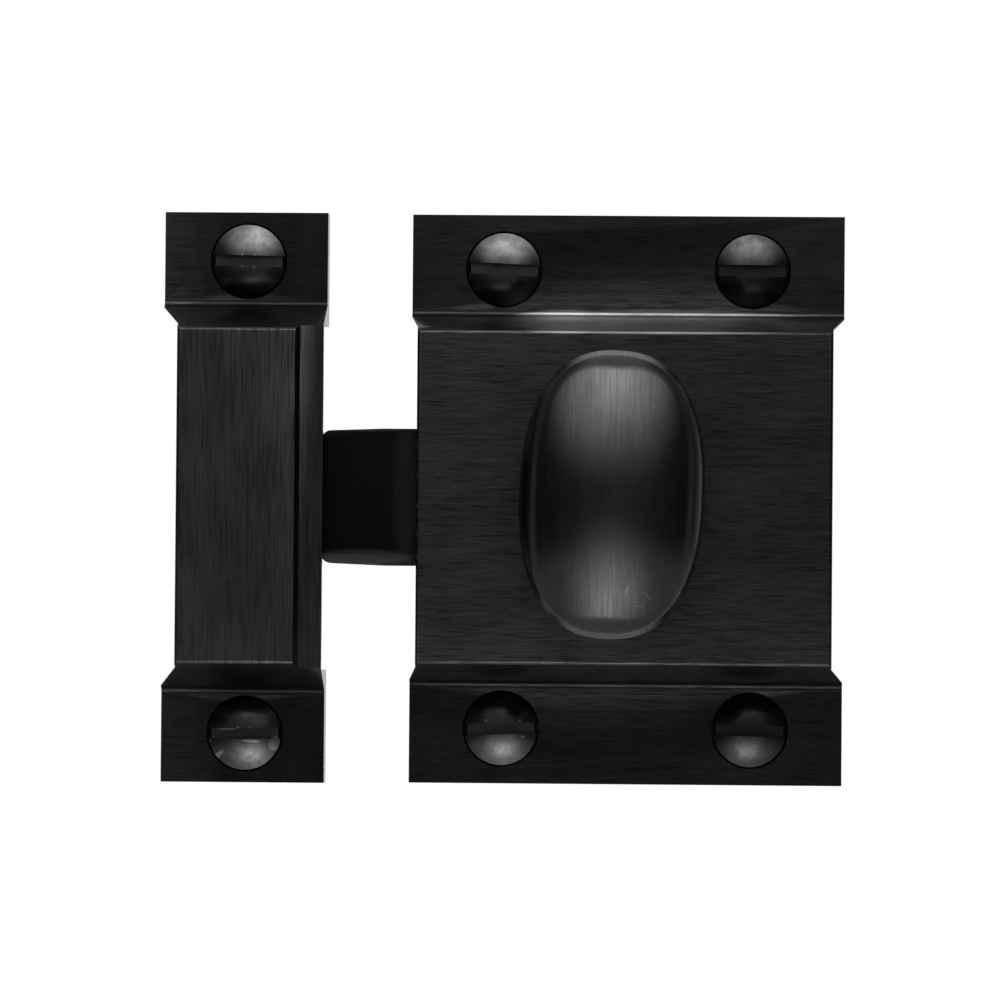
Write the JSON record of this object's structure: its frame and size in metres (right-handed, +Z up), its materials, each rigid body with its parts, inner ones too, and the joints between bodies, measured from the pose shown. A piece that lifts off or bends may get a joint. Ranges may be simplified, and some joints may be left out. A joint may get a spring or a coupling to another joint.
{
  "type": "cupboard catch latch",
  "caption": "Surface cupboard latch with an oval turn knob that draws a spring bolt out of its screwed-on strike, in near-black brushed brass.",
  "frame": {"origin": "middle of the latch's four mounting screws, on the face of the door that the castings lie against", "axes": "+X to the right along the set, away from the strike, +Y into the door, +Z up"},
  "size_m": [0.0608, 0.0402, 0.051],
  "materials": {
    "dark_brushed_brass": "blackened and brushed to a satin",
    "dark_cast_brass": "blackened, left as cast and filed",
    "dark_sheet_brass": "blackened sheet",
    "dark_screw_brass": "blackened, polished heads",
    "turned_brass": "turned and bare",
    "spring_steel": "drawn wire"
  },
  "bodies": {
    "case": {"latch_case": "dark_brushed_brass", "back_plate": "dark_sheet_brass", "back_plate_pins": "dark_screw_brass", "upper_spring": "spring_steel", "lower_spring": "spring_steel", "case_mounting_screws": "dark_screw_brass", "strike": "dark_brushed_brass", "strike_mounting_screws": "dark_screw_brass"},
    "knob": {"knob": "dark_brushed_brass", "spindle": "turned_brass", "cam": "turned_brass", "cam_clip": "spring_steel"},
    "bolt": {"bolt": "dark_cast_brass"}
  },
  "joints": [
    {"name": "knob_turn", "type": "hinge", "parent": "case", "child": "knob", "pos_m": [-0.00121, 0, 0], "axis": [0, 1, 0], "range_deg": [0, 90]},
    {"name": "bolt_slide", "type": "slide", "parent": "case", "child": "bolt", "axis": [1, 0, 0], "range_m": [0, 0.0075], "stiffness_N_per_m": 300, "springref_m": -0.004, "deforming": ["upper_spring", "lower_spring"]}
  ],
  "couplings": [
    {"joint": "knob_turn", "follows": "bolt_slide", "rad_per_m": 209.44}
  ]
}
